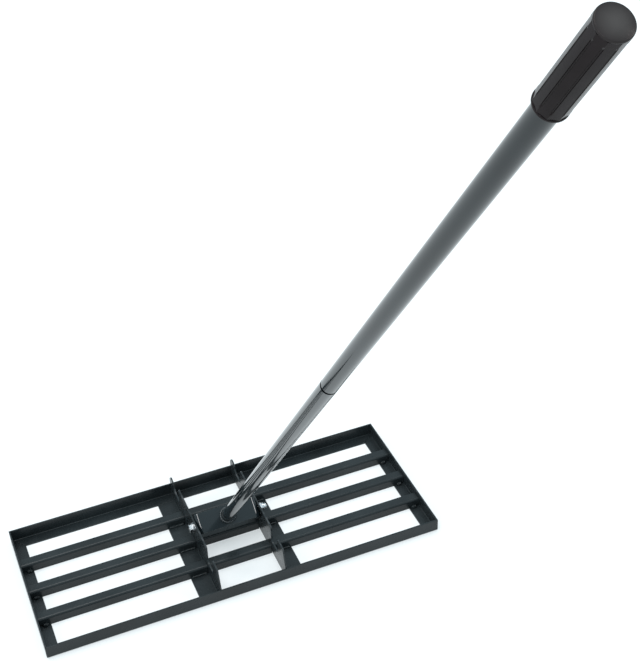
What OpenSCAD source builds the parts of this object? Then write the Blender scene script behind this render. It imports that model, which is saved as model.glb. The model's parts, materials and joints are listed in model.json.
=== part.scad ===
// Lawn leveling rake: a welded angle-iron head under a hinged two-piece tube handle.
// Millimetres, +Z up, +X along the head. The handle leans to the front, towards -Y.
// The origin is the middle of the ground edge of the middle slat.

/* [Frame] */
// Length of the head, side to side
head_length = 762; // [600:1:1000]
// Depth of the head, front to rear
head_depth = 312; // [300:1:420]
// Width of the frame's flanges on the ground
frame_leg = 24.5; // [22:0.5:30]
// Height of the frame's walls
frame_height = 28; // [22:0.5:30]
// Wall of the frame's angle bars
frame_wall = 3; // [2:0.1:4]
// Inner radius of every bend in the head
head_bend_radius = 1.5; // [0.5:0.1:3]

/* [Slats] */
// Leg of the slats' angle bars, upright and flat alike
slat_leg = 19.5; // [15:0.5:21]
// Wall of the slats' angle bars
slat_wall = 3; // [2:0.1:4]

/* [Side plates] */
// Width of the bay between the two plates
bay_width = 124; // [90:1:180]
// How far the bay's middle is to the right of the head's middle
bay_offset = 7.5; // [-20:0.5:20]
// Wall of the plates
plate_wall = 3; // [2:0.1:4]
// Width of the flange that turns outward on the ground
plate_flange = 38; // [25:1:60]
// Height of the plate in its notches
notch_height = 31; // [26:0.5:36]
// Height of the plate's raised middle and front tab
plate_height = 68; // [60:0.5:90]
// Reach of the raised middle in front of the pivot
middle_front = 80; // [50:1:95]
// Reach of the raised middle behind the pivot
middle_rear = 91; // [50:1:95]
// Radius of the raised middle's upper corners
middle_corner = 6; // [1:0.5:12]
// Width of the front tab along its top
tab_width = 26; // [15:0.5:30]
// Height of the plate at its front end, under the tab's sloping edge
tab_lip = 26; // [10:0.5:40]
// Run of the front tab's sloping edge
tab_slope = 12; // [6:0.5:16]
// Radius of the front tab's inner corner
tab_corner = 4; // [0.5:0.1:8]
// Height of the rear ear
ear_height = 52; // [46:0.5:64]
// Width of the rear ear, rounded over its whole top
ear_width = 24; // [16:0.5:28]
// Fillet between a notch and the raised parts
notch_fillet = 8; // [2:0.5:12]
// Fillet between the rear notch and the ear
ear_fillet = 14; // [4:0.5:16]

/* [Pivot] */
// Height of the pivot above the ground
pivot_height = 46; // [43:0.5:50]
// Diameter of the pivot bolt
bolt_diameter = 10; // [8:0.1:12]
// Radial running clearance between bolt and bracket
pivot_clearance = 0.08; // [0.02:0.01:0.1]
// Radial clearance of the bolt in the side plate
plate_hole_clearance = 0.25; // [0.1:0.05:0.5]
// Width across the flats of the bolt's head and the nut
wrench_size = 16; // [14:0.5:18]
// Height of the bolt's head
bolt_head_height = 6.4; // [5:0.1:8]
// Bolt end that stands out of the nut
bolt_end = 6; // [2:0.5:10]
// Chamfer on the bolt's end
bolt_chamfer = 1; // [0.5:0.1:2]
// Diameter of a washer
washer_diameter = 20; // [18:0.5:24]
// Thickness of a washer
washer_thickness = 1.6; // [1:0.1:3]
// Radial clearance of the bolt in a washer
washer_clearance = 0.25; // [0.1:0.05:0.5]
// Height of the nut's hexagon
nut_height = 7; // [5:0.5:9]
// Height of the round locking ring on the nut
nut_ring_height = 3; // [2:0.1:4]
// Wall of the round locking ring on the nut
nut_ring_wall = 2; // [1.2:0.1:2.5]

/* [Bracket] */
// Lean of the handle from upright as it stands
handle_lean = 37.5; // [0:0.5:80]
// Wall of the bracket
bracket_wall = 4; // [3:0.1:5]
// Depth of the bracket, front to rear
bracket_depth = 40; // [30:1:42]
// Height of the bracket's top face above the pivot
bracket_height = 28; // [25:0.5:36]
// Inner radius of the bracket's two bends
bracket_bend_radius = 8; // [2:0.5:12]
// Gap between the bracket and each side plate
bracket_gap = 0.5; // [0.3:0.05:1]

/* [Handle] */
// Length of the handle from the pivot to its end
handle_length = 1781; // [1200:1:2200]
// Outer diameter of both tubes
tube_diameter = 24; // [20:0.5:30]
// Wall of both tubes
tube_wall = 1.2; // [1:0.1:2.5]
// Length of the lower tube
lower_length = 898; // [600:1:1000]
// Leg of the weld around the foot of the lower tube
weld_leg = 5; // [3:0.5:7]
// Seam between the two tubes
seam_height = 2; // [0.6:0.1:3]
// Depth of the seam below the tubes' faces
seam_depth = 0.9; // [0.3:0.1:1.1]
// Depth of a joint plug inside its tube
plug_length = 35; // [31:1:70]
// Diameter of the screwed stud in the joint
stud_diameter = 14; // [10:0.5:15]
// Length of the screwed stud
stud_length = 30; // [20:1:34]
// Radial clearance of the stud in its socket
stud_clearance = 0.2; // [0.1:0.05:0.4]

/* [Grip] */
// Length of the grip, cap included
grip_length = 113; // [80:1:180]
// Diameter of the grip's sleeve
grip_diameter = 30; // [27.5:0.5:40]
// Diameter of the collar at the grip's lower end
collar_diameter = 31; // [30:0.5:46]
// Thickness of the collar
collar_thickness = 3; // [2:0.1:6]
// Diameter of the cap
cap_diameter = 31; // [30:0.5:44]
// Thickness of the cap at its rim
cap_rim = 3; // [2:0.1:6]
// Rise of the cap's dome above its rim
cap_dome = 1.2; // [0.5:0.1:3]
// Thickness of rubber under the dome, over the tube's end
cap_floor = 3; // [2:0.1:4]
// Radius on the rims of collar and cap
rim_radius = 0.9; // [0.3:0.1:0.9]
// Number of grooves around the sleeve
groove_count = 8; // [4:1:12]
// Radius of a groove
groove_radius = 0.8; // [0.4:0.1:1]
// Plain sleeve beyond each end of the grooves
groove_margin = 6; // [2:0.5:15]
// Turn of the sleeve's panels about the handle
groove_turn = -7; // [-22:0.5:22]

/* [Hidden] */
overrun = 1;
$fn = 64;

paint = [0.13, 0.14, 0.15];
tube_paint = [0.24, 0.27, 0.29];
zinc = [0.75, 0.76, 0.78];
rubber = [0.10, 0.09, 0.09];

// Slats share the depth so that the four gaps between bars are equal.
slat_rows = 3;
slat_pitch = (head_depth - 2 * frame_leg + slat_leg) / (slat_rows + 1);
head_middle = (slat_leg - slat_wall) / 2;

// The bay stands at x = 0, so the head's own middle is off it.
head_side = -bay_offset;

// Side plates stand between the front and the rear wall.
bay_side = bay_width / 2;
plate_outside = bay_side + plate_wall;
flange_edge = bay_side + plate_flange;
plate_end = head_depth / 2 - frame_wall;
flange_lap = frame_leg - frame_wall;
left_wall = head_length / 2 - frame_wall - head_side;
right_wall = head_length / 2 - frame_wall + head_side;

// The pivot's stack along X, from the bracket outward: head on the left, nut on the right.
bolt_radius = bolt_diameter / 2;
bracket_side = bay_side - bracket_gap;
washer_seat = plate_outside;
bolt_seat = washer_seat + washer_thickness;
nut_top = bolt_seat + nut_height + nut_ring_height;
bolt_tip = nut_top + bolt_end;
hex_diameter = wrench_size / cos(30);

// The handle's stations along its own axis, from the pivot.
tube_radius = tube_diameter / 2;
tube_bore = tube_radius - tube_wall;
lower_top = bracket_height + lower_length;
upper_foot = lower_top + seam_height;
upper_top = handle_length - cap_floor;
grip_foot = handle_length - grip_length;
cap_foot = handle_length - cap_dome - cap_rim;
cap_radius = cap_diameter / 2;
dome_radius = (cap_radius * cap_radius + cap_dome * cap_dome) / (2 * cap_dome);

// A rectangle from the origin with its corner at the origin rounded.
module one_round_corner(width, height, radius) {
    translate([radius, 0])
        square([width - radius, height]);
    translate([0, radius])
        square([width, height - radius]);
    translate([radius, radius])
        circle(radius);
}

// Section of an angle bar with its heel at the origin and its legs along +x and +y.
module angle_section(flat_leg, upright_leg, wall, bend_radius) {
    difference() {
        one_round_corner(flat_leg, upright_leg, bend_radius + wall);
        translate([wall, wall])
            one_round_corner(flat_leg, upright_leg, bend_radius);
    }
}

// A rectangle standing on y = 0, centred, with both upper corners rounded.
module round_top(width, height, radius) {
    translate([-width / 2, 0])
        square([width, height - radius]);
    translate([radius - width / 2, 0])
        square([width - 2 * radius, height]);
    for (side = [-1, 1])
        translate([side * (width / 2 - radius), height - radius])
            circle(radius);
}

// The web between a floor and a wall that meet at the origin.
module corner_fillet(radius) {
    difference() {
        translate([-overrun, -overrun])
            square(radius + overrun);
        translate([radius, radius])
            circle(radius);
    }
}

// Sweeps a section drawn in (y, z) along X, from x = 0.
module along_x(length) {
    rotate([90, 0, 90])
        linear_extrude(length)
            children();
}

// Frame bar along X: outer face on y = 0, flange inward on the ground, ends mitred.
module frame_angle(length) {
    intersection() {
        translate([-length / 2, 0, 0])
            along_x(length)
                angle_section(frame_leg, frame_height, frame_wall, head_bend_radius);
        linear_extrude(frame_height)
            polygon([
                [-length / 2, 0],
                [length / 2, 0],
                [length / 2 - frame_leg, frame_leg],
                [frame_leg - length / 2, frame_leg]
            ]);
    }
}

module rear_angle() {
    color(paint)
        translate([head_side, head_middle + head_depth / 2, 0])
            rotate([0, 0, 180])
                frame_angle(head_length);
}

module front_angle() {
    color(paint)
        translate([head_side, head_middle - head_depth / 2, 0])
            frame_angle(head_length);
}

module left_end_angle() {
    color(paint)
        translate([head_side - head_length / 2, head_middle, 0])
            rotate([0, 0, -90])
                frame_angle(head_depth);
}

module right_end_angle() {
    color(paint)
        translate([head_side + head_length / 2, head_middle, 0])
            rotate([0, 0, 90])
                frame_angle(head_depth);
}

// Slat from x = 0: flat leg on top, upright leg at the front down to the ground.
module slat_bar(length) {
    along_x(length)
        translate([-slat_wall / 2, slat_leg])
            mirror([0, 1])
                angle_section(slat_leg, slat_leg, slat_wall, head_bend_radius);
}

// Notch under a slat's end: the flange's wall, and the bend where the flange turns up.
module slat_notch(reach, wall) {
    translate([-overrun, -slat_leg, -overrun])
        cube([reach + overrun, 2 * slat_leg, wall + overrun]);
    translate([-overrun, -slat_leg, -overrun])
        cube([head_bend_radius + overrun, 2 * slat_leg, wall + head_bend_radius + overrun]);
}

// Slat of a bank, from the side plate to the end bar's wall; it stands on both flanges.
module bank_slat(row, end_wall) {
    length = end_wall - plate_outside;
    color(paint)
        translate([plate_outside, row * slat_pitch, 0])
            difference() {
                slat_bar(length);
                slat_notch(flange_edge - plate_outside, plate_wall);
                translate([length, 0, 0])
                    mirror([1, 0, 0])
                        slat_notch(flange_lap, frame_wall);
            }
}

// Slat of the centre bay, square at both ends.
module centre_slat(row) {
    color(paint)
        translate([-bay_side, row * slat_pitch, 0])
            slat_bar(bay_width);
}

module left_slat_rear() {
    mirror([1, 0, 0])
        bank_slat(1, left_wall);
}

module left_slat_middle() {
    mirror([1, 0, 0])
        bank_slat(0, left_wall);
}

module left_slat_front() {
    mirror([1, 0, 0])
        bank_slat(-1, left_wall);
}

module centre_slat_rear() {
    centre_slat(1);
}

module centre_slat_middle() {
    centre_slat(0);
}

module centre_slat_front() {
    centre_slat(-1);
}

module right_slat_rear() {
    bank_slat(1, right_wall);
}

module right_slat_middle() {
    bank_slat(0, right_wall);
}

module right_slat_front() {
    bank_slat(-1, right_wall);
}

// Front tab of a side plate from the plate's front end at y = 0, its inner corner rounded.
module tab_profile() {
    inner_edge = tab_slope + tab_width;
    difference() {
        polygon([
            [0, 0],
            [inner_edge, 0],
            [inner_edge, plate_height],
            [tab_slope, plate_height],
            [0, tab_lip]
        ]);
        translate([inner_edge, plate_height])
            rotate(180)
                corner_fillet(tab_corner);
    }
}

// Outline of a side plate in (y, z), with y = 0 under the pivot.
module plate_profile() {
    tab_foot = tab_slope + tab_width - plate_end;
    ear_foot = plate_end - ear_width;
    difference() {
        union() {
            translate([tab_slope - plate_end, 0])
                square([2 * plate_end - tab_slope, notch_height]);
            translate([(middle_rear - middle_front) / 2, 0])
                round_top(middle_front + middle_rear, plate_height, middle_corner);
            translate([-plate_end, 0])
                tab_profile();
            translate([ear_foot, 0])
                square([ear_width, ear_height - ear_width / 2]);
            translate([plate_end - ear_width / 2, ear_height - ear_width / 2])
                circle(d = ear_width);
            translate([tab_foot, notch_height])
                corner_fillet(notch_fillet);
            translate([-middle_front, notch_height])
                mirror([1, 0])
                    corner_fillet(notch_fillet);
            translate([middle_rear, notch_height])
                corner_fillet(notch_fillet);
            translate([ear_foot, notch_height])
                mirror([1, 0])
                    corner_fillet(ear_fillet);
        }
        for (side = [0, 1])
            mirror([side, 0])
                translate([plate_end - flange_lap, -overrun]) {
                    square([flange_lap + overrun, frame_wall + overrun]);
                    translate([flange_lap - head_bend_radius, 0])
                        square([head_bend_radius + overrun, frame_wall + head_bend_radius + overrun]);
                }
        translate([0, pivot_height])
            circle(bolt_radius + plate_hole_clearance);
    }
}

module right_side_plate() {
    blank_height = max(plate_height, ear_height);
    color(paint)
        translate([bay_side, head_middle, 0])
            intersection() {
                rotate([90, 0, 0])
                    linear_extrude(2 * plate_end, center = true)
                        angle_section(plate_flange, blank_height, plate_wall, head_bend_radius);
                along_x(plate_flange)
                    plate_profile();
            }
}

module left_side_plate() {
    mirror([1, 0, 0])
        right_side_plate();
}

// Places what is drawn along +z onto the pivot's axis, pointing right.
module on_pivot() {
    translate([0, head_middle, pivot_height])
        rotate([0, 90, 0])
            children();
}

// Draws its children on the right and mirrored on the left.
module both_sides() {
    children();
    mirror([1, 0, 0])
        children();
}

// Hexagon with the corners of its far face turned off.
module hexagon(height) {
    chamfer = (hex_diameter - wrench_size) / 2;
    intersection() {
        cylinder(h = height, d = hex_diameter, $fn = 6);
        union() {
            cylinder(h = height - chamfer, d = hex_diameter + overrun);
            translate([0, 0, height - chamfer])
                cylinder(h = chamfer, d1 = hex_diameter, d2 = wrench_size);
        }
    }
}

// One bolt through both side plates and the bracket.
module pivot_bolt() {
    color(zinc)
        on_pivot() {
            translate([0, 0, -bolt_seat])
                mirror([0, 0, 1])
                    hexagon(bolt_head_height);
            translate([0, 0, -bolt_seat])
                cylinder(h = bolt_seat + bolt_tip - bolt_chamfer, r = bolt_radius);
            translate([0, 0, bolt_tip - bolt_chamfer])
                cylinder(h = bolt_chamfer, r1 = bolt_radius, r2 = bolt_radius - bolt_chamfer);
        }
}

module pivot_washers() {
    color(zinc)
        both_sides()
            on_pivot()
                translate([0, 0, washer_seat])
                    difference() {
                        cylinder(h = washer_thickness, d = washer_diameter);
                        translate([0, 0, -overrun])
                            cylinder(h = washer_thickness + 2 * overrun, r = bolt_radius + washer_clearance);
                    }
}

module pivot_nut() {
    color(zinc)
        on_pivot()
            translate([0, 0, bolt_seat])
                difference() {
                    union() {
                        hexagon(nut_height);
                        cylinder(h = nut_top - bolt_seat, r = bolt_radius + nut_ring_wall);
                    }
                    translate([0, 0, -overrun])
                        cylinder(h = nut_top - bolt_seat + 2 * overrun, r = bolt_radius);
                }
}

// Places what is drawn upright over the pivot at the handle's lean.
module on_handle() {
    translate([0, head_middle, pivot_height])
        rotate([handle_lean, 0, 0])
            children();
}

// Section of the bracket in (x, z): a plate with both sides bent down past the pivot.
module bracket_section() {
    foot = bracket_depth / 2;
    inside = bracket_side - bracket_wall;
    difference() {
        translate([0, -foot])
            round_top(2 * bracket_side, foot + bracket_height, bracket_bend_radius + bracket_wall);
        translate([0, -foot - overrun])
            round_top(2 * inside, foot + overrun + bracket_height - bracket_wall, bracket_bend_radius);
    }
}

module pivot_bracket() {
    color(paint)
        on_handle()
            difference() {
                intersection() {
                    rotate([90, 0, 0])
                        linear_extrude(bracket_depth, center = true)
                            bracket_section();
                    translate([-bracket_side, 0, 0])
                        along_x(2 * bracket_side)
                            union() {
                                circle(d = bracket_depth);
                                translate([-bracket_depth / 2, 0])
                                    square([bracket_depth, bracket_height]);
                            }
                }
                translate([-bracket_side - overrun, 0, 0])
                    along_x(2 * (bracket_side + overrun))
                        circle(bolt_radius + pivot_clearance);
            }
}

// Fillet weld around the foot of the lower tube.
module base_weld() {
    color(paint)
        on_handle()
            rotate_extrude()
                translate([tube_radius, bracket_height])
                    intersection() {
                        circle(weld_leg);
                        square(weld_leg);
                    }
}

module handle_tube(foot, top) {
    translate([0, 0, foot])
        difference() {
            cylinder(h = top - foot, r = tube_radius);
            translate([0, 0, -overrun])
                cylinder(h = top - foot + 2 * overrun, r = tube_bore);
        }
}

module lower_tube() {
    color(paint)
        on_handle()
            handle_tube(bracket_height, lower_top);
}

module upper_tube() {
    color(tube_paint)
        on_handle()
            handle_tube(upper_foot, upper_top);
}

// Plug in the top of the lower tube that takes the upper tube's stud.
module joint_socket() {
    color(zinc)
        on_handle()
            translate([0, 0, lower_top - plug_length])
                difference() {
                    cylinder(h = plug_length, r = tube_bore);
                    translate([0, 0, -overrun])
                        cylinder(h = plug_length + 2 * overrun, d = stud_diameter + 2 * stud_clearance);
                }
}

// Plug in the foot of the upper tube, with a shoulder in the seam and a stud below.
module joint_stud() {
    color(zinc)
        on_handle() {
            translate([0, 0, upper_foot])
                cylinder(h = plug_length, r = tube_bore);
            translate([0, 0, lower_top])
                cylinder(h = seam_height, r = tube_radius - seam_depth);
            translate([0, 0, lower_top - stud_length])
                cylinder(h = stud_length, d = stud_diameter);
        }
}

// Half section of a disc from z = 0 with its rim rounded above and below.
module rim_section(radius, height) {
    square([radius - rim_radius, height]);
    translate([0, rim_radius])
        square([radius, height - 2 * rim_radius]);
    for (level = [rim_radius, height - rim_radius])
        translate([radius - rim_radius, level])
            circle(rim_radius);
}

module grip() {
    groove_length = cap_foot - grip_foot - collar_thickness - 2 * groove_margin;
    color(rubber)
        on_handle()
            difference() {
                union() {
                    translate([0, 0, grip_foot])
                        rotate_extrude()
                            rim_section(collar_diameter / 2, collar_thickness);
                    translate([0, 0, grip_foot])
                        cylinder(h = cap_foot - grip_foot + cap_rim / 2, d = grip_diameter);
                    translate([0, 0, cap_foot])
                        rotate_extrude()
                            rim_section(cap_radius, cap_rim);
                    translate([0, 0, cap_foot])
                        rotate_extrude()
                            intersection() {
                                square([cap_radius - rim_radius, cap_rim + cap_dome]);
                                translate([0, cap_rim + cap_dome - dome_radius])
                                    circle(dome_radius);
                            }
                }
                translate([0, 0, grip_foot - overrun])
                    cylinder(h = upper_top - grip_foot + overrun, r = tube_radius);
                for (groove = [0 : groove_count - 1])
                    rotate((groove + 0.5) * 360 / groove_count + groove_turn)
                        translate([grip_diameter / 2, 0, grip_foot + collar_thickness + groove_margin])
                            cylinder(h = groove_length, r = groove_radius);
            }
}

rear_angle();
front_angle();
left_end_angle();
right_end_angle();
left_slat_rear();
left_slat_middle();
left_slat_front();
centre_slat_rear();
centre_slat_middle();
centre_slat_front();
right_slat_rear();
right_slat_middle();
right_slat_front();
left_side_plate();
right_side_plate();
pivot_bolt();
pivot_washers();
pivot_nut();
pivot_bracket();
base_weld();
lower_tube();
joint_socket();
joint_stud();
upper_tube();
grip();
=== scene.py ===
"""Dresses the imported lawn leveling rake: rounded edges, welds, thread, turned tubes, grip and finishes."""

import json
import math

import bmesh
import bpy
from mathutils import Matrix, Vector


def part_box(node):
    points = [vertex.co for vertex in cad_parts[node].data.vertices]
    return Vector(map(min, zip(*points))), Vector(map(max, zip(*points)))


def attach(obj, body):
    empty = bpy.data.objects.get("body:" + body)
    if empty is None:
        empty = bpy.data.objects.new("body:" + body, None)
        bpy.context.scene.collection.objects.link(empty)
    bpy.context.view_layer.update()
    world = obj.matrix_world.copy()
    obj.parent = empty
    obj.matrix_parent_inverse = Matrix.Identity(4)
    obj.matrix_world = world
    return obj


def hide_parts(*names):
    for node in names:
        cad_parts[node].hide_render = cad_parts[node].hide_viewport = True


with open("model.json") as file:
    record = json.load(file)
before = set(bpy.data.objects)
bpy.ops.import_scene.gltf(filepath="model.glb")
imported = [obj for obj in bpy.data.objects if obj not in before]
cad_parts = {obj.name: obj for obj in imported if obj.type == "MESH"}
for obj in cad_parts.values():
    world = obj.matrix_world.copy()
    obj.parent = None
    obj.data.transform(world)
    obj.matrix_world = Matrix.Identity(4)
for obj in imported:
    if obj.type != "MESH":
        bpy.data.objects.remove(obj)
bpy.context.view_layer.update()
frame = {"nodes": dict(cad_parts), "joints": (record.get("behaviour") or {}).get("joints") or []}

bl_info = {
    "name": "Lawn leveling rake",
    "version": (1, 0, 0),
    "blender": (4, 5, 0),
    "location": "3D View > Sidebar > Rake",
    "description": "Builds the visible pieces of a lawn leveling rake around its packed frame",
    "category": "Object",
}

MM = 0.001

HEAD, HANDLE = "head", "handle"
BARS = ("rear_angle", "front_angle", "left_end_angle", "right_end_angle")
BANKS = ("left", "right")
ROWS = ("rear", "middle", "front")
SLATS = tuple(f"{bay}_slat_{row}" for bay in ("left", "centre", "right") for row in ROWS)
PLATES = tuple(f"{side}_side_plate" for side in BANKS)
FIXINGS = ("pivot_bolt", "pivot_washers", "pivot_nut")
PLUGS = ("joint_socket", "joint_stud")


# Places read from the frame

def middle(node):
    """Middle of a CAD node's box."""
    low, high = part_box(node)
    return (low + high) / 2


# The handle's own frame has its origin at the pivot and +Z along the tubes
PIVOT = Vector(frame["joints"][0]["pos_m"])
AXIS = (middle("upper_tube") - PIVOT).normalized()
HANDLE_FRAME = Matrix.Translation(PIVOT) @ Matrix.Rotation(math.atan2(-AXIS.y, AXIS.z), 4, "X")


def along_handle(node):
    """Lowest and highest station of a node on the handle's axis, and its largest radius about it."""
    inverse = HANDLE_FRAME.inverted()
    points = [inverse @ vertex.co for vertex in frame["nodes"][node].data.vertices]
    stations = [point.z for point in points]
    return min(stations), max(stations), max(point.xy.length for point in points)


def on_handle(radius, angle, station):
    """Place at a radius, an angle and a station of the handle's axis."""
    return HANDLE_FRAME @ Vector((radius * math.cos(angle), radius * math.sin(angle), station))


# Settings

def size(name, description, millimetres):
    """A length that a user can change, given in millimetres."""
    return bpy.props.FloatProperty(
        name=name, description=description, default=millimetres * MM, min=0.0,
        subtype="DISTANCE", unit="LENGTH", precision=5)


def share(name, description, value):
    """A share from 0 to 1 that a user can change."""
    return bpy.props.FloatProperty(
        name=name, description=description, default=value, min=0.0, max=1.0, subtype="FACTOR")


def colour(name, description, value):
    """A linear colour that a user can change."""
    return bpy.props.FloatVectorProperty(
        name=name, description=description, default=value, min=0.0, max=1.0, size=3, subtype="COLOR")


class RakeSizes(bpy.types.PropertyGroup):
    """Sizes of the forms that the scene adds to the CAD solids."""

    edge_radius: size("Edge radius", "Rounding of cut plate and bar edges", 0.5)
    flange_wall: size("Flange wall", "Thickness of the flanges that the slats stand on", 3.0)
    bead_radius: size("Bead radius", "Radius of the weld beads at the slats' feet", 2.4)
    bead_pitch: size("Bead pitch", "Distance between two ripples of a weld bead", 2.6)
    bead_inset: size("Bead inset", "Bare length between a weld bead and the flange's edge or wall", 2.0)
    bead_ripple: share("Bead ripple", "Depth of a ripple as a share of the bead's radius", 0.10)
    tack_radius: size("Tack radius", "Radius of the tack welds at the slats' outer ends", 3.8)
    tack_length: size("Tack length", "Length of the tack welds at the slats' outer ends", 11.0)
    ring_radius: size("Ring radius", "Radius of the weld bead around the handle's foot", 3.3)
    bolt_radius: size("Bolt radius", "Radius of the pivot bolt's shank", 5.0)
    thread_pitch: size("Thread pitch", "Pitch of the screw thread on the pivot bolt", 1.5)
    thread_depth: size("Thread depth", "Depth of the screw thread on the pivot bolt", 0.45)
    thread_sink: share("Thread sink", "How far the thread sinks into the shank, as a share of its depth", 0.6)
    tube_wall: size("Tube wall", "Wall of both handle tubes", 1.2)
    lip_depth: size("Lip depth", "How far the tubes' ends round off inward at the seam", 0.9)
    lip_length: size("Lip length", "Length of the tubes' rounded ends at the seam", 1.8)
    lip_guard: size("Lip guard", "Short stretch that keeps a tube's side straight beyond its lip", 3.0)
    sleeve_radius: size("Sleeve radius", "Radius of the grip's sleeve", 15.3)
    bore_depth: size("Bore depth", "Depth of the open bore at the grip's foot", 40.0)
    collar_height: size("Collar height", "Height of the collar at the grip's foot", 3.0)
    cap_radius: size("Cap radius", "Radius of the grip's cap", 15.2)
    cap_rim: size("Cap rim", "Height of the cap's rim", 3.0)
    cap_dome: size("Cap dome", "Rise of the cap above its rim", 1.2)
    cap_round: size("Cap rounding", "Rounding between the cap's rim and its face", 1.3)
    # The cap's lighter middle is a painted highlight; this is how far it fades towards the cap's edge
    cap_highlight_fade: share("Cap fade", "How far the cap's lighter middle fades to its edge", 0.70)
    rim_radius: size("Rim radius", "Rounding of the collar and the cap's foot", 0.9)
    groove_count: bpy.props.IntProperty(
        name="Grooves", description="Number of grooves around the grip", default=10, min=3, max=16)
    groove_width: size("Groove width", "Width of a groove in the grip", 1.9)
    groove_depth: size("Groove depth", "Depth of a groove in the grip", 1.0)
    groove_margin: size("Groove margin", "Plain sleeve beyond each end of the grooves", 6.0)
    groove_turn: bpy.props.FloatProperty(
        name="Groove turn", description="Angle of the first groove about the handle",
        default=math.radians(16.2), subtype="ANGLE", unit="ROTATION")
    panel_flat: share("Panel flat", "How flat the grip is between two grooves, 1 being a plane", 0.85)


class RakeFinishes(bpy.types.PropertyGroup):
    """Colours and gloss of the finishes."""

    head_paint: colour("Head paint", "Gloss black coat of the head", (0.0120, 0.0155, 0.0170))
    head_rough: share("Head roughness", "Roughness of the head's coat", 0.27)
    head_shine: share("Head shine", "Specular level of the head's coat", 0.28)
    handle_paint: colour(
        "Lower handle paint", "Gloss black paint of the bracket and lower tube", (0.0080, 0.0118, 0.0138))
    handle_rough: share("Lower handle roughness", "Roughness of the lower handle's paint", 0.06)
    handle_shine: share("Lower handle shine", "Specular level of the lower handle's paint", 0.45)
    upper_paint: colour("Upper handle paint", "Slate paint of the upper tube", (0.0050, 0.0085, 0.0105))
    upper_rough: share("Upper handle roughness", "Roughness of the upper handle's paint", 0.06)
    upper_shine: share("Upper handle shine", "Specular level of the upper handle's paint", 0.37)
    # Worn paint colour: lightens rounded edges and cut faces, partly as paint rubbed thin and partly as a
    # painted highlight along them
    worn_paint_and_highlight: colour("Worn paint", "Paint rubbed thin along edges", (0.060, 0.064, 0.067))
    zinc: colour("Zinc", "Bright zinc plate of the pivot hardware", (0.62, 0.63, 0.64))
    zinc_rough: share("Zinc roughness", "Roughness of the zinc plate", 0.22)
    joint_steel: colour(
        "Joint steel", "Blackened steel of the plugs in the handle's joint", (0.010, 0.010, 0.011))
    joint_rough: share("Joint roughness", "Roughness of the plugs in the handle's joint", 0.60)
    rubber: colour("Rubber", "Moulded rubber of the grip's sleeve", (0.0092, 0.0070, 0.0080))
    # The cap is moulded in one with the sleeve; its lighter grey, strongest in the middle, is a painted
    # highlight
    lit_cap_rubber: colour("Cap rubber", "Lighter rubber in the middle of the grip's cap", (0.054, 0.050, 0.049))
    rubber_rough: share("Rubber roughness", "Roughness of the grip", 0.20)
    rubber_bloom: share("Rubber bloom", "Dusty bloom that lightens the grip's edges", 0.10)
    rubber_shine: share("Rubber shine", "Specular level of the grip", 0.075)


class RakeStage(bpy.types.PropertyGroup):
    """Camera, floor and light."""

    camera_place: bpy.props.FloatVectorProperty(
        name="Camera place", description="Where the camera stands", default=(-0.46615, -1.73476, 1.79833),
        size=3, subtype="TRANSLATION", unit="LENGTH")
    camera_aim: bpy.props.FloatVectorProperty(
        name="Camera aim", description="Point that the camera looks at", default=(0.21972, 0.03812, 0.40088),
        size=3, subtype="TRANSLATION", unit="LENGTH")
    camera_roll: bpy.props.FloatProperty(
        name="Camera roll", description="Turn of the camera about its view", default=math.radians(-2.316),
        subtype="ANGLE", unit="ROTATION")
    lens: bpy.props.FloatProperty(
        name="Lens", description="Focal length on a 36 mm wide sensor", default=73.261, unit="CAMERA")
    floor_size: bpy.props.FloatProperty(
        name="Floor size", description="Side of the floor", default=60.0, subtype="DISTANCE", unit="LENGTH")
    floor_tone: colour("Floor", "Pale floor", (0.42, 0.42, 0.42))
    floor_glow: colour(
        "Floor glow", "Light that the floor gives by itself, as a lit studio floor does", (0.47, 0.50, 0.51))
    sky: colour("Surroundings", "Even light from all sides", (0.63, 0.79, 0.86))
    overhead_strength: bpy.props.FloatProperty(
        name="Overhead light", description="Large soft lamp over the rake", default=2.0, min=0.0)
    glint_strength: bpy.props.FloatProperty(
        name="Glints", description="Small lamps beside the rake for thin highlights", default=0.6, min=0.0)


# Node helpers

# Most of a noise lies between these two values
NOISE_LOW, NOISE_HIGH = 0.35, 0.65
# Places of a mix node's sockets, whose names are the same for colours and for plain values
COLOUR_FIRST, COLOUR_SECOND, COLOUR_RESULT = 6, 7, 2
VALUE_FIRST, VALUE_SECOND, VALUE_RESULT = 2, 3, 0


def feed(tree, value, socket):
    """Links a socket to an input, or sets the input to a plain value."""
    if isinstance(value, bpy.types.NodeSocket):
        tree.links.new(value, socket)
    else:
        socket.default_value = value


def put(tree, kind, **values):
    """Adds a node and sets its inputs by name."""
    node = tree.nodes.new(kind)
    for name, value in values.items():
        node.inputs[name.replace("_", " ")].default_value = value
    return node


def math_node(tree, operation, *values):
    """Result of a math node over sockets and plain numbers."""
    node = tree.nodes.new("ShaderNodeMath")
    node.operation = operation
    for socket, value in zip(node.inputs, values):
        feed(tree, value, socket)
    return node.outputs[0]


def noise(tree, grain, stretch=None):
    """Noise of a scale and a level of detail on the piece's own coordinates, squeezed by axis if asked."""
    scale, detail = grain
    place = tree.nodes.new("ShaderNodeTexCoord").outputs["Object"]
    if stretch:
        mapping = put(tree, "ShaderNodeMapping", Scale=stretch)
        tree.links.new(place, mapping.inputs["Vector"])
        place = mapping.outputs["Vector"]
    texture = put(tree, "ShaderNodeTexNoise", Scale=scale, Detail=detail)
    tree.links.new(place, texture.inputs["Vector"])
    return texture.outputs["Fac"]


def spread(tree, value, low, high, start=NOISE_LOW, end=NOISE_HIGH):
    """Maps the middle of a noise to a range of values."""
    node = put(tree, "ShaderNodeMapRange", From_Min=start, From_Max=end, To_Min=low, To_Max=high)
    tree.links.new(value, node.inputs["Value"])
    return node.outputs["Result"]


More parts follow.
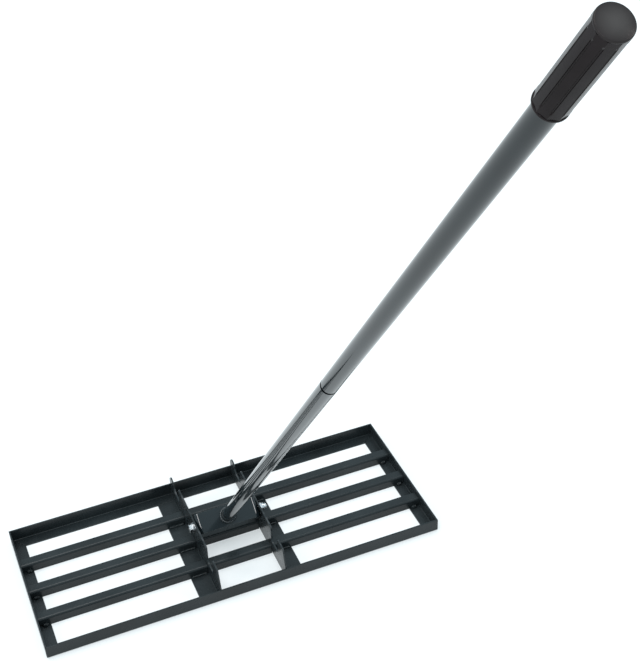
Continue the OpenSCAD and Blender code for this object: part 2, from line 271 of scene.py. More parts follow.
def blend(tree, factor, first, second):
    """Mixes two colours, each a plain colour or a socket."""
    node = tree.nodes.new("ShaderNodeMix")
    node.data_type = "RGBA"
    tree.links.new(factor, node.inputs["Factor"])
    for place, value in ((COLOUR_FIRST, first), (COLOUR_SECOND, second)):
        plain = not isinstance(value, bpy.types.NodeSocket)
        feed(tree, (*value, 1.0) if plain else value, node.inputs[place])
    return node.outputs[COLOUR_RESULT]


def mix_values(tree, factor, first, second):
    """Mixes a socket's value with a plain one."""
    node = tree.nodes.new("ShaderNodeMix")
    tree.links.new(factor, node.inputs["Factor"])
    tree.links.new(first, node.inputs[VALUE_FIRST])
    node.inputs[VALUE_SECOND].default_value = second
    return node.outputs[VALUE_RESULT]


def attribute(tree, name):
    """Value of a named attribute of the mesh, 0 where the mesh has none."""
    node = tree.nodes.new("ShaderNodeAttribute")
    node.attribute_name = name
    return node.outputs["Fac"]


def bump(tree, shader, heights):
    """Lays bumps over each other, each a socket with its depth."""
    normal = None
    for height, depth in heights:
        node = put(tree, "ShaderNodeBump", Strength=1.0, Distance=depth)
        tree.links.new(height, node.inputs["Height"])
        if normal:
            tree.links.new(normal, node.inputs["Normal"])
        normal = node.outputs["Normal"]
    tree.links.new(normal, shader.inputs["Normal"])


# Finishes

# Noises, each with its scale and its level of detail
CLOUD_GRAIN = (11.0, 3.0)
WEAR_AND_HIGHLIGHT_GRAIN = (120.0, 4.0)
GLOSS_GRAIN = (38.0, 4.0)
PEEL_GRAIN = (700.0, 1.5)
MOTTLE_GRAIN = (240.0, 3.0)
PLATING_GRAIN = (500.0, 3.0)
TURNING_GRAIN = (900.0, 2.0)
TURNING_STRETCH = (6.0, 1.0, 1.0)
BLOOM_GRAIN = (30.0, 4.0)
DULL_GRAIN = (90.0, 3.0)
SWELL_GRAIN = (140.0, 2.0)
SKIN_GRAIN = (1600.0, 2.0)

# Darkest and lightest tint of a colour, as shares of it
PAINT_TINTS = (0.82, 1.22)
METAL_TINTS = (0.78, 1.15)
RUBBER_TINTS = (0.8, 1.25)
CAP_TINTS = (0.9, 1.1)
SEAM_TINT = 0.3

# Lowest and highest roughness, as shares of a finish's own
PAINT_GLOSS = (0.85, 1.2)
METAL_GLOSS = (0.7, 1.5)
RUBBER_GLOSS = (0.88, 1.12)

# Paint rubbed thin along edges, which also paints a highlight there: the noise values between which it starts
# and is full, its most and its roughness
WEAR_AND_HIGHLIGHT_START, WEAR_AND_HIGHLIGHT_FULL = 0.45, 0.75
WEAR_AND_HIGHLIGHT_MOST = 0.8
RUB_ROUGH = 0.45
SEAM_ROUGH = 1.0

# Depths of the bumps
HEAD_PEEL = 0.10 * MM
HANDLE_PEEL = 0.006 * MM
TURNING_DEPTH = 0.06 * MM
SWELL_DEPTH = 0.05 * MM
SKIN_DEPTH = 0.03 * MM

# The grip's warm reflections and its dusty bloom
RUBBER_TINT = (1.0, 0.86, 0.76, 1.0)
BLOOM_TINT = (1.0, 0.95, 0.91, 1.0)
BLOOM_ROUGH = 0.10


def new_material(name):
    """A new node material, its tree and its shader."""
    material = bpy.data.materials.new(name)
    material.use_nodes = True
    return material, material.node_tree, material.node_tree.nodes["Principled BSDF"]


def tinted(base, factor):
    """A colour made lighter or darker."""
    return tuple(min(1.0, channel * factor) for channel in base)


def mottled(tree, cloud, base, tints):
    """A colour that wanders between two tints of its base."""
    darker, lighter = tints
    return blend(tree, cloud, tinted(base, darker), tinted(base, lighter))


def uneven(tree, grain, rough, shares):
    """A roughness that wanders between two shares of itself."""
    low, high = shares
    return spread(tree, noise(tree, grain), rough * low, rough * high)


def paint(name, base, rough, shine, worn_and_highlight, peel, seamed=False):
    """Sprayed paint: cloudy colour, orange peel, uneven gloss, dull seams, and a lighter worn colour along
    rounded edges and cut faces that is partly paint rubbed thin and partly a painted highlight.
    """
    material, tree, shader = new_material(name)
    coat = mottled(tree, spread(tree, noise(tree, CLOUD_GRAIN), 0.0, 1.0), base, PAINT_TINTS)
    patches = spread(tree, noise(tree, WEAR_AND_HIGHLIGHT_GRAIN), 0.0, WEAR_AND_HIGHLIGHT_MOST, WEAR_AND_HIGHLIGHT_START, WEAR_AND_HIGHLIGHT_FULL)
    # The worn colour along rounded edges and cut faces is partly paint rubbed thin and partly a painted
    # highlight
    worn_and_highlit = math_node(tree, "MULTIPLY", attribute(tree, "edge"), patches)
    worn_and_highlit_coat = blend(tree, worn_and_highlit, coat, worn_and_highlight)
    seam = attribute(tree, "seam")
    tree.links.new(blend(tree, seam, worn_and_highlit_coat, tinted(base, SEAM_TINT)), shader.inputs["Base Color"])
    rubbed_gloss = mix_values(tree, worn_and_highlit, uneven(tree, GLOSS_GRAIN, rough, PAINT_GLOSS), RUB_ROUGH)
    tree.links.new(mix_values(tree, seam, rubbed_gloss, SEAM_ROUGH), shader.inputs["Roughness"])
    shader.inputs["Specular IOR Level"].default_value = shine
    if seamed:
        level = put(tree, "ShaderNodeMapRange", To_Min=shine, To_Max=0.0)
        tree.links.new(seam, level.inputs["Value"])
        tree.links.new(level.outputs["Result"], shader.inputs["Specular IOR Level"])
    bump(tree, shader, [(noise(tree, PEEL_GRAIN), peel)])
    return material


def turned_metal(name, base, rough):
    """Plated or blackened metal: mottled, with fine turning marks."""
    material, tree, shader = new_material(name)
    shader.inputs["Metallic"].default_value = 1.0
    mottle = spread(tree, noise(tree, MOTTLE_GRAIN), 0.0, 1.0)
    tree.links.new(mottled(tree, mottle, base, METAL_TINTS), shader.inputs["Base Color"])
    tree.links.new(uneven(tree, PLATING_GRAIN, rough, METAL_GLOSS), shader.inputs["Roughness"])
    bump(tree, shader, [(noise(tree, TURNING_GRAIN, TURNING_STRETCH), TURNING_DEPTH)])
    return material


def moulded_rubber(name, base, cap, rough, shine, dust):
    """Moulded rubber: fine grain and cloudy bloom, with a painted highlight that lightens the cap, most in
    its middle.
    """
    material, tree, shader = new_material(name)
    cloud = spread(tree, noise(tree, BLOOM_GRAIN), 0.0, 1.0)
    sleeve = mottled(tree, cloud, base, RUBBER_TINTS)
    # end is the cap's painted highlight: a lighter rubber colour, mixed in most at the cap's middle
    end = mottled(tree, cloud, cap, CAP_TINTS)
    tree.links.new(blend(tree, attribute(tree, "cap"), sleeve, end), shader.inputs["Base Color"])
    tree.links.new(uneven(tree, DULL_GRAIN, rough, RUBBER_GLOSS), shader.inputs["Roughness"])
    shader.inputs["Specular IOR Level"].default_value = shine
    shader.inputs["Specular Tint"].default_value = RUBBER_TINT
    shader.inputs["Sheen Weight"].default_value = dust
    shader.inputs["Sheen Roughness"].default_value = BLOOM_ROUGH
    shader.inputs["Sheen Tint"].default_value = BLOOM_TINT
    bump(tree, shader, [(noise(tree, SWELL_GRAIN), SWELL_DEPTH), (noise(tree, SKIN_GRAIN), SKIN_DEPTH)])
    return material


def finish(context, name):
    """The material of one of the record's slots, made when first asked for."""
    found = bpy.data.materials.get(f"rake_{name}")
    if found:
        return found
    look = context.scene.rake_finishes
    makers = {
        "head_paint": lambda n: paint(
            n, look.head_paint, look.head_rough, look.head_shine, look.worn_paint_and_highlight, HEAD_PEEL),
        "handle_paint": lambda n: paint(
            n, look.handle_paint, look.handle_rough, look.handle_shine, look.worn_paint_and_highlight, HANDLE_PEEL,
            seamed=True),
        "upper_paint": lambda n: paint(
            n, look.upper_paint, look.upper_rough, look.upper_shine, look.worn_paint_and_highlight, HANDLE_PEEL,
            seamed=True),
        "zinc_hardware": lambda n: turned_metal(n, look.zinc, look.zinc_rough),
        "joint_steel": lambda n: turned_metal(n, look.joint_steel, look.joint_rough),
        "grip_rubber": lambda n: moulded_rubber(
            n, look.rubber, look.lit_cap_rubber, look.rubber_rough, look.rubber_shine, look.rubber_bloom),
    }
    return makers[name](f"rake_{name}")


# Piece helpers

# Points of a CAD mesh that are one, faces that are one plane, and edges that are rounded
SAME_POINT = 0.002 * MM
SAME_PLANE = math.radians(0.5)
SHARP_EDGE = math.radians(40.0)
ROUNDING_STEPS = 2
ROUNDING_PROFILE = 0.5
# How worn the paint is along the edges of bars and slats, and along those of the plates and the bracket; the
# worn colour there is partly a painted highlight
BAR_WEAR_AND_HIGHLIGHT = 0.2
PLATE_WEAR_AND_HIGHLIGHT = 1.0
# Edges that stay sharp in smooth shading
SHADE_ANGLE = math.radians(38.0)
GRIP_SHADE_ANGLE = math.radians(50.0)
ARC_STEPS = 6


def add_piece(name, mesh):
    """A new object with this mesh, at the origin."""
    piece = bpy.data.objects.new(name, mesh)
    bpy.context.scene.collection.objects.link(piece)
    return piece


def settle(piece):
    """Turns a piece's modifiers into plain mesh."""
    graph = bpy.context.evaluated_depsgraph_get()
    mesh = bpy.data.meshes.new_from_object(
        piece.evaluated_get(graph), preserve_all_data_layers=True, depsgraph=graph)
    piece.modifiers.clear()
    piece.data = mesh
    if not mesh.polygons:
        raise RuntimeError(f"{piece.name} came out empty")


def smooth(piece, angle=SHADE_ANGLE):
    """Smooth shading with sharp edges kept, and flat faces kept flat."""
    piece.data.shade_smooth()
    piece.data.set_sharp_from_angle(angle=angle)
    modifier = piece.modifiers.new("flat faces", "WEIGHTED_NORMAL")
    modifier.keep_sharp = True
    settle(piece)


def hand_over(context, piece, slot, body, *nodes):
    """Gives a piece its finish and its body, and hides the CAD nodes that it stands for."""
    if not piece.data.materials:
        piece.data.materials.append(finish(context, slot))
    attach(piece, body)
    if nodes:
        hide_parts(*nodes)


def rounded_copy(context, node, slot, body, wear_and_highlight=BAR_WEAR_AND_HIGHLIGHT, cut=None):
    """A copy of a CAD node with its sharp edges rounded.

    The roundings, and the faces that cut calls cut edges, carry the strength of their worn paint and painted
    highlight in the edge attribute.
    """
    radius = context.scene.rake_sizes.edge_radius
    shape = bmesh.new()
    shape.from_mesh(frame["nodes"][node].data)
    bmesh.ops.remove_doubles(shape, verts=shape.verts, dist=SAME_POINT)
    bmesh.ops.dissolve_limit(shape, angle_limit=SAME_PLANE, verts=shape.verts, edges=shape.edges)
    edge = shape.faces.layers.float.new("edge")
    sharp = [e for e in shape.edges if e.is_manifold and e.calc_face_angle() > SHARP_EDGE]
    rounded = bmesh.ops.bevel(
        shape, geom=sharp, offset=radius, offset_type="OFFSET", segments=ROUNDING_STEPS,
        profile=ROUNDING_PROFILE, affect="EDGES", clamp_overlap=True)
    for face in rounded["faces"]:
        face[edge] = wear_and_highlight
    for face in shape.faces:
        if cut and cut(face):
            face[edge] = wear_and_highlight
    mesh = bpy.data.meshes.new(f"{node}_rounded")
    shape.to_mesh(mesh)
    shape.free()
    piece = add_piece(f"{node}_rounded", mesh)
    smooth(piece)
    hand_over(context, piece, slot, body, node)


def turned(name, profile, angles, closed, form=None, mark=None, fade=None):
    """Turns a profile of (radius, station) points about the handle's axis.

    form gives a point's radius from its radius in the profile, its station and its angle. mark is a face
    attribute's name and the two stations between which it is 1. fade is a point attribute's name and its
    value by radius and station.
    """
    shape = bmesh.new()
    layer = shape.faces.layers.float.new(mark[0]) if mark else None
    tone = shape.verts.layers.float.new(fade[0]) if fade else None
    rings = []
    for radius, station in profile:
        if radius == 0:
            rings.append([shape.verts.new(on_handle(0, 0, station))])
            continue
        ring = []
        for angle in angles:
            formed = form(radius, station, angle) if form else radius
            ring.append(shape.verts.new(on_handle(formed, angle, station)))
        rings.append(ring)
    if fade:
        for ring, (radius, station) in zip(rings, profile):
            for vert in ring:
                vert[tone] = fade[1](radius, station)
    stations = [station for radius, station in profile]
    pairs = list(zip(rings, rings[1:], stations, stations[1:]))
    if closed:
        pairs.append((rings[-1], rings[0], stations[-1], stations[0]))
    count = len(angles)
    for lower, upper, low, high in pairs:
        for i in range(count):
            j = (i + 1) % count
            corners = [lower[i % len(lower)], lower[j % len(lower)]]
            corners += [upper[j % len(upper)], upper[i % len(upper)]]
            face = shape.faces.new(list(dict.fromkeys(corners)))
            if mark and mark[1] <= (low + high) / 2 <= mark[2]:
                face[layer] = 1.0
    bmesh.ops.recalc_face_normals(shape, faces=shape.faces)
    mesh = bpy.data.meshes.new(name)
    shape.to_mesh(mesh)
    shape.free()
    return add_piece(name, mesh)


def arc(centre, radii, start, end):
    """Points of an elliptic arc in a profile, with its angles in degrees from the radius direction."""
    angles = [math.radians(start + (end - start) * i / ARC_STEPS) for i in range(ARC_STEPS + 1)]
    return [(centre[0] + radii[0] * math.cos(a), centre[1] + radii[1] * math.sin(a)) for a in angles]


# Geometry node trees

# A weld bead's points in a ripple, sides, least taper, and the scale and strength of its unevenness
RIPPLE_STEPS = 6.0
BEAD_SIDES = 14
LEAST_TAPER = 0.02
WOBBLE_SCALE = 260.0
WOBBLE = 3.0
# A thread's points in a turn and sides
THREAD_STEPS = 40
THREAD_SIDES = 6


def new_tree(name, inputs):
    """A geometry tree with named float inputs, its input and output nodes and its inputs' identifiers."""
    tree = bpy.data.node_groups.new(name, "GeometryNodeTree")
    tree.interface.new_socket("Geometry", in_out="INPUT", socket_type="NodeSocketGeometry")
    names = {}
    for label in inputs:
        socket = tree.interface.new_socket(label, in_out="INPUT", socket_type="NodeSocketFloat")
        names[label] = socket.identifier
    tree.interface.new_socket("Geometry", in_out="OUTPUT", socket_type="NodeSocketGeometry")
    return tree, tree.nodes.new("NodeGroupInput"), tree.nodes.new("NodeGroupOutput"), names


def close_tree(tree, geometry, material, result):
    """Ends a tree in smooth shading, real geometry and a material."""
    shade = tree.nodes.new("GeometryNodeSetShadeSmooth")
    real = tree.nodes.new("GeometryNodeRealizeInstances")
    painted = tree.nodes.new("GeometryNodeSetMaterial")
    painted.inputs["Material"].default_value = material
    tree.links.new(geometry, shade.inputs["Geometry"])
    tree.links.new(shade.outputs["Geometry"], real.inputs["Geometry"])
    tree.links.new(real.outputs["Geometry"], painted.inputs["Geometry"])
    tree.links.new(painted.outputs["Geometry"], result.inputs["Geometry"])


def swept(tree, path, sides, radius):
    """A round section of a number of sides, swept along a path and closed at both ends."""
    section = tree.nodes.new("GeometryNodeCurvePrimitiveCircle")
    section.inputs["Resolution"].default_value = sides
    tree.links.new(radius, section.inputs["Radius"])
    sweep = tree.nodes.new("GeometryNodeCurveToMesh")
    sweep.inputs["Fill Caps"].default_value = True
    tree.links.new(path, sweep.inputs["Curve"])
    tree.links.new(section.outputs["Curve"], sweep.inputs["Profile Curve"])
    return sweep


def bead_tree(material):
    """Lays a rippled weld bead with tapered ends along every line of the mesh."""
    tree, given, result, names = new_tree("weld bead", ("Radius", "Pitch", "Ripple", "Seed"))
    link = tree.links.new
    radius, pitch, ripple = (given.outputs[n] for n in ("Radius", "Pitch", "Ripple"))
    path = tree.nodes.new("GeometryNodeMeshToCurve")
    link(given.outputs["Geometry"], path.inputs["Mesh"])
    fine = tree.nodes.new("GeometryNodeResampleCurve")
    fine.mode = "LENGTH"
    link(path.outputs["Curve"], fine.inputs["Curve"])
    link(math_node(tree, "DIVIDE", pitch, RIPPLE_STEPS), fine.inputs["Length"])
    run = tree.nodes.new("GeometryNodeSplineParameter").outputs["Length"]
    whole = tree.nodes.new("GeometryNodeSplineLength").outputs["Length"]
    turn = math_node(tree, "DIVIDE", math_node(tree, "MULTIPLY", run, 2 * math.pi), pitch)
    wave = math_node(tree, "SINE", turn)
    rough = tree.nodes.new("ShaderNodeTexNoise")
    rough.noise_dimensions = "4D"
    rough.inputs["Scale"].default_value = WOBBLE_SCALE
    link(given.outputs["Seed"], rough.inputs["W"])
    wobble = math_node(tree, "MULTIPLY", math_node(tree, "SUBTRACT", rough.outputs["Fac"], 0.5), WOBBLE)
    swell = math_node(tree, "MULTIPLY_ADD", math_node(tree, "ADD", wave, wobble), ripple, 1.0)
    to_end = math_node(tree, "MINIMUM", run, math_node(tree, "SUBTRACT", whole, run))
    near = math_node(tree, "MINIMUM", math_node(tree, "DIVIDE", to_end, radius), 1.0)
    taper = math_node(tree, "SQRT", math_node(tree, "MAXIMUM", near, LEAST_TAPER))
    bead = swept(tree, fine.outputs["Curve"], BEAD_SIDES, radius)
    link(math_node(tree, "MULTIPLY", swell, taper), bead.inputs["Scale"])
    close_tree(tree, bead.outputs["Mesh"], material, result)
    return tree, names


def thread_tree(material):
    """Winds a screw thread along +X from every point of the mesh."""
    tree, given, result, names = new_tree("screw thread", ("Radius", "Pitch", "Depth", "Length"))
    link = tree.links.new
    radius, pitch, depth, length = (given.outputs[n] for n in ("Radius", "Pitch", "Depth", "Length"))
    helix = tree.nodes.new("GeometryNodeCurveSpiral")
    helix.inputs["Resolution"].default_value = THREAD_STEPS
    link(math_node(tree, "DIVIDE", length, pitch), helix.inputs["Rotations"])
    link(radius, helix.inputs["Start Radius"])
    link(radius, helix.inputs["End Radius"])
    link(length, helix.inputs["Height"])
    ridge = swept(tree, helix.outputs["Curve"], THREAD_SIDES, depth)
    place = tree.nodes.new("GeometryNodeInstanceOnPoints")
    place.inputs["Rotation"].default_value = (0.0, math.pi / 2, 0.0)
    link(given.outputs["Geometry"], place.inputs["Points"])
    link(ridge.outputs["Mesh"], place.inputs["Instance"])
    close_tree(tree, place.outputs["Instances"], material, result)
    return tree, names


def grown(name, points, lines, tree, names, **values):
    """A piece grown by a geometry tree from points and lines."""
    mesh = bpy.data.meshes.new(name)
    mesh.from_pydata(points, lines, [])
    piece = add_piece(name, mesh)
    modifier = piece.modifiers.new("growth", "NODES")
    modifier.node_group = tree
    for label, value in values.items():
        modifier[names[label]] = value
    settle(piece)
    return piece


# Operators for the head and the pivot

# A side plate's face is a cut edge if the x of its normal is below this and it lies above the flange's bend
EDGE_ON = 0.3
BEND_WALLS = 2
# Where a tack sits between the end bar's edge and the slat's end
TACK_SHARES = {"rear": 0.38, "middle": 0.50, "front": 0.44}
# A weld's distance from the two faces of its corner, as a share of its radius
BEAD_REST = 0.42
TACK_REST = 0.62
RING_REST = 0.42
# Ripples beside a bead's
TACK_RIPPLE = 2.0
RING_RIPPLE = 0.6
# Seeds of the welds' unevenness
BEAD_SEED = 3.0
TACK_SEED = 5.0
RING_SEED = 8.0
# Degrees at which the tube's weld starts and ends, so that its ends overlap, and between two of its points
RING_START, RING_END, RING_STEP = -8, 368, 4
# Bare shank at each end of the thread, in thread depths
THREAD_MARGIN = 2


class RAKE_OT_frame_bars(bpy.types.Operator):
    """Round and paint the four angle bars of the head's frame"""

    bl_idname = "rake.frame_bars"
    bl_label = "Frame bars"

    def execute(self, context):
        for node in BARS:
            rounded_copy(context, node, "head_paint", HEAD)
        return {"FINISHED"}


class RAKE_OT_slats(bpy.types.Operator):
    """Round and paint the nine slats"""

    bl_idname = "rake.slats"
    bl_label = "Slats"

    def execute(self, context):
        for node in SLATS:
            rounded_copy(context, node, "head_paint", HEAD)
        return {"FINISHED"}


class RAKE_OT_side_plates(bpy.types.Operator):
    """Round and paint the two bent side plates"""

    bl_idname = "rake.side_plates"
    bl_label = "Side plates"

    def execute(self, context):
        bend_top = BEND_WALLS * context.scene.rake_sizes.flange_wall

        def cut(face):
            """Whether a face is a cut edge of the upright web."""
            return abs(face.normal.x) < EDGE_ON and face.calc_center_median().z > bend_top

        for node in PLATES:
            # The plates' cut faces get the full worn colour, which paints a highlight along their edges
            rounded_copy(context, node, "head_paint", HEAD, wear_and_highlight=PLATE_WEAR_AND_HIGHLIGHT, cut=cut)
        return {"FINISHED"}


class RAKE_OT_slat_welds(bpy.types.Operator):
    """Weld the foot of every bank slat: a bead on the side plate's flange and a tack on the end bar's"""

    bl_idname = "rake.slat_welds"
    bl_label = "Slat welds"

    def execute(self, context):
        sizes = context.scene.rake_sizes
        beads, tacks = [], []
        for bank in BANKS:
            end_low, end_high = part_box(f"{bank}_end_angle")
            plate_low, plate_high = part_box(f"{bank}_side_plate")
            side = 1 if bank == "right" else -1
            flange_edge = end_low.x if side > 0 else end_high.x
            plate_edge = plate_high.x if side > 0 else plate_low.x
            inset = side * sizes.bead_inset
            reach = side * sizes.tack_length / 2
            for row in ROWS:
                low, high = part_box(f"{bank}_slat_{row}")
                inner, outer = (low.x, high.x) if side > 0 else (high.x, low.x)
                beads.append((inner + inset, plate_edge - inset, low.y))
                centre = flange_edge + (outer - flange_edge) * TACK_SHARES[row]
                tacks.append((centre - reach, centre + reach, low.y))
        self.lay(context, "slat_welds", beads, sizes.bead_radius, BEAD_REST, sizes.bead_ripple, BEAD_SEED)
        tack_ripple = sizes.bead_ripple * TACK_RIPPLE
        self.lay(context, "slat_tacks", tacks, sizes.tack_radius, TACK_REST, tack_ripple, TACK_SEED)
        return {"FINISHED"}

    def lay(self, context, name, runs, radius, rest, ripple, seed):
        """Lays welds of one radius in the corners between the flanges and the slats' feet."""
        sizes = context.scene.rake_sizes
        off = radius * rest
        level = sizes.flange_wall + off
        points = [(x, front - off, level) for start, end, front in runs for x in (start, end)]
        lines = [(2 * i, 2 * i + 1) for i in range(len(runs))]
        tree, names = bead_tree(finish(context, "head_paint"))
        piece = grown(
            name, points, lines, tree, names,
            Radius=radius, Pitch=sizes.bead_pitch, Ripple=ripple, Seed=seed)
        hand_over(context, piece, "head_paint", HEAD)


class RAKE_OT_pivot_hardware(bpy.types.Operator):
    """Plate the pivot's bolt, washers and nut, blacken the handle's plugs and wind the bolt's thread"""

    bl_idname = "rake.pivot_hardware"
    bl_label = "Pivot hardware"

    def execute(self, context):
        sizes = context.scene.rake_sizes
        for node in FIXINGS:
            frame["nodes"][node].data.materials[0] = finish(context, "zinc_hardware")
        for node in PLUGS:
            frame["nodes"][node].data.materials[0] = finish(context, "joint_steel")
        bolt_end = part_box("pivot_bolt")[1].x
        nut_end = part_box("pivot_nut")[1].x
        margin = THREAD_MARGIN * sizes.thread_depth
        length = bolt_end - nut_end - 2 * margin
        radius = sizes.bolt_radius - sizes.thread_sink * sizes.thread_depth
        points = [(nut_end + margin, PIVOT.y, PIVOT.z)]
        tree, names = thread_tree(finish(context, "zinc_hardware"))
        piece = grown(
            "bolt_thread", points, [], tree, names,
            Radius=radius, Pitch=sizes.thread_pitch, Depth=sizes.thread_depth, Length=length)
        hand_over(context, piece, "zinc_hardware", HEAD)
        return {"FINISHED"}


class RAKE_OT_bracket(bpy.types.Operator):
    """Round and paint the pivot bracket and lay the weld around the handle's foot"""

    bl_idname = "rake.bracket"
    bl_label = "Bracket"

    def execute(self, context):
        sizes = context.scene.rake_sizes
        rounded_copy(context, "pivot_bracket", "handle_paint", HANDLE, wear_and_highlight=PLATE_WEAR_AND_HIGHLIGHT)
        foot, _, outside = along_handle("lower_tube")
        off = sizes.ring_radius * RING_REST
        around = [math.radians(degrees) for degrees in range(RING_START, RING_END + 1, RING_STEP)]
        points = [on_handle(outside + off, angle, foot + off) for angle in around]
        lines = [(i, i + 1) for i in range(len(points) - 1)]
        tree, names = bead_tree(finish(context, "handle_paint"))
        piece = grown(
            "tube_weld", points, lines, tree, names,
            Radius=sizes.ring_radius, Pitch=sizes.bead_pitch, Ripple=sizes.bead_ripple * RING_RIPPLE,
            Seed=RING_SEED)
        hand_over(context, piece, "handle_paint", HANDLE, "base_weld")
        return {"FINISHED"}


# Operators for the handle

TUBE_SIDES = 128
# The length over which a groove runs out at its ends, in groove widths
RUN_OUT_WIDTHS = 2
# Points of the grip: in a run-out, along the sleeve, in half a groove, across a panel and over the cap
RUN_OUT_STEPS = 6
SLEEVE_STEPS = 8
GROOVE_STEPS = 4
PANEL_STEPS = 10
DOME_STEPS = 6
# The sleeve's first and last points lie this far from the collar and the cap, to tell them apart
SLEEVE_GAP = 0.01 * MM
# How fast the cap's painted highlight fades towards its edge
CAP_HIGHLIGHT_POWER = 1.5


class RAKE_OT_handle_tubes(bpy.types.Operator):
    """Turn the two handle tubes with rounded lips at the seam"""

    bl_idname = "rake.handle_tubes"
    bl_label = "Handle tubes"

    def execute(self, context):
        sizes = context.scene.rake_sizes
        depth, length, guard = sizes.lip_depth, sizes.lip_length, sizes.lip_guard
        around = [2 * math.pi * i / TUBE_SIDES for i in range(TUBE_SIDES)]
        for node, slot in (("lower_tube", "handle_paint"), ("upper_tube", "upper_paint")):
            foot, top, outside = along_handle(node)
            bore = outside - sizes.tube_wall
            profile = [(bore, top), (bore, foot)]
            profile += arc((outside - depth, foot + length), (depth, length), -90, 0)
            profile += [(outside, foot + length + guard), (outside, top - length - guard)]
            profile += arc((outside - depth, top - length), (depth, length), 0, 90)
            seam = (top - length, top) if node == "lower_tube" else (foot, foot + length)
            piece = turned(f"{node}_turned", profile, around, closed=True, mark=("seam", *seam))
            smooth(piece)
            hand_over(context, piece, slot, HANDLE, node)
        return {"FINISHED"}


class RAKE_OT_grip(bpy.types.Operator):
    """Mould the grip: collar, grooved sleeve with flattened panels, and cap"""

    bl_idname = "rake.grip"
    bl_label = "Grip"

    def execute(self, context):
        sizes = context.scene.rake_sizes
        foot, top, outside = along_handle("grip")
        collar_top = foot + sizes.collar_height
        cap_foot = top - sizes.cap_dome - sizes.cap_rim
        cap_bend = cap_foot + sizes.cap_rim - sizes.cap_round
        groove_foot = collar_top + sizes.groove_margin
        groove_top = cap_foot - sizes.groove_margin
        run_out = RUN_OUT_WIDTHS * sizes.groove_width
        step = 2 * math.pi / sizes.groove_count
        half = sizes.groove_width / 2 / sizes.sleeve_radius

        def sleeve(radius, station, angle):
            """Radius of the sleeve with its flattened panels and grooves; collar and cap stay round."""
            if not collar_top < station < cap_foot:
                return radius
            across = ((angle - sizes.groove_turn) / step) % 1.0 - 0.5
            from_groove = (0.5 - abs(across)) * step
            ends = min(station - groove_foot, groove_top - station) / run_out
            depth = max(0.0, min(1.0, ends))
            plane = math.cos(step / 2) / math.cos(across * step)
            panel = 1 - sizes.panel_flat * (1 - plane)
            groove = math.sqrt(max(0.0, 1 - (from_groove / half) ** 2)) * sizes.groove_depth * depth
            return radius * panel - groove

        def cap_highlight(radius, station):
            """Strength of the cap's painted highlight: most in the cap's middle, none below its rounding."""
            if station < cap_bend:
                return 0.0
            return 1 - sizes.cap_highlight_fade * (radius / sizes.cap_radius) ** CAP_HIGHLIGHT_POWER

        stations = [collar_top + SLEEVE_GAP]
        stations += self.sleeve_stations(groove_foot, groove_top, run_out)
        stations += [cap_foot - SLEEVE_GAP]
        profile = self.collar(sizes, foot, collar_top, outside)
        profile += [(sizes.sleeve_radius, station) for station in stations]
        profile += self.cap(sizes, cap_foot, cap_bend, top)
        angles = self.sleeve_angles(sizes, step, half)
        # The cap attribute carries the strength of the cap's painted highlight
        piece = turned("grip_moulded", profile, angles, closed=False, form=sleeve, fade=("cap", cap_highlight))
        smooth(piece, GRIP_SHADE_ANGLE)
        hand_over(context, piece, "grip_rubber", HANDLE, "grip")
        return {"FINISHED"}

    def sleeve_stations(self, foot, top, run_out):
        """Stations along the sleeve, closer where the grooves run out."""
        full = top - foot - 2 * run_out
        stations = [foot - run_out, foot]
        stations += [foot + run_out * i / RUN_OUT_STEPS for i in range(1, RUN_OUT_STEPS + 1)]
        stations += [foot + run_out + full * i / SLEEVE_STEPS for i in range(1, SLEEVE_STEPS)]
        stations += [top - run_out * i / RUN_OUT_STEPS for i in range(RUN_OUT_STEPS, 0, -1)]
        return stations + [top, top + run_out]

    def sleeve_angles(self, sizes, step, half):
        """Angles around the sleeve, closer in the grooves than on the panels."""
        angles = []
        for groove in range(sizes.groove_count):
            centre = sizes.groove_turn + groove * step
            angles += [centre + half * i / GROOVE_STEPS for i in range(-GROOVE_STEPS, GROOVE_STEPS + 1)]
            angles += [centre + half + (step - 2 * half) * i / PANEL_STEPS for i in range(1, PANEL_STEPS)]
        return angles

    def collar(self, sizes, foot, top, outside):
        """Profile of the bore and the rounded collar."""
        rim = sizes.rim_radius
        bore = along_handle("upper_tube")[2]
        bore_end = foot + sizes.bore_depth
        profile = [(0, bore_end), (bore, bore_end), (bore, foot)]
        profile += arc((outside - rim, foot + rim), (rim, rim), -90, 0)
        return profile + arc((outside - rim, top - rim), (rim, rim), 0, 90)

    def cap(self, sizes, foot, bend, top):
        """Profile of the cap: its rounded foot, its rounding and its low dome."""
        rim, rounding = sizes.rim_radius, sizes.cap_round
        edge = sizes.cap_radius - rounding
        profile = arc((sizes.cap_radius - rim, foot + rim), (rim, rim), -90, 0)
        profile += arc((edge, bend), (rounding, rounding), 0, 90)
        outward = [1 - i / DOME_STEPS for i in range(1, DOME_STEPS)]
        profile += [(edge * part, top - sizes.cap_dome * part ** 2) for part in outward]
        return profile + [(0, top)]


# Stage, panel and registration

# Where the lamps stand, and how wide they look
OVERHEAD_PLACE = (-0.20, 0.15, 0.97)
OVERHEAD_WIDTH = math.radians(50.0)
GLINT_PLACES = {"left": (-0.75, -0.35, 0.56), "right": (0.75, -0.35, 0.56), "front": (-0.66, -0.66, 0.35)}
GLINT_WIDTH = math.radians(14.0)
SENSOR_WIDTH = 36.0


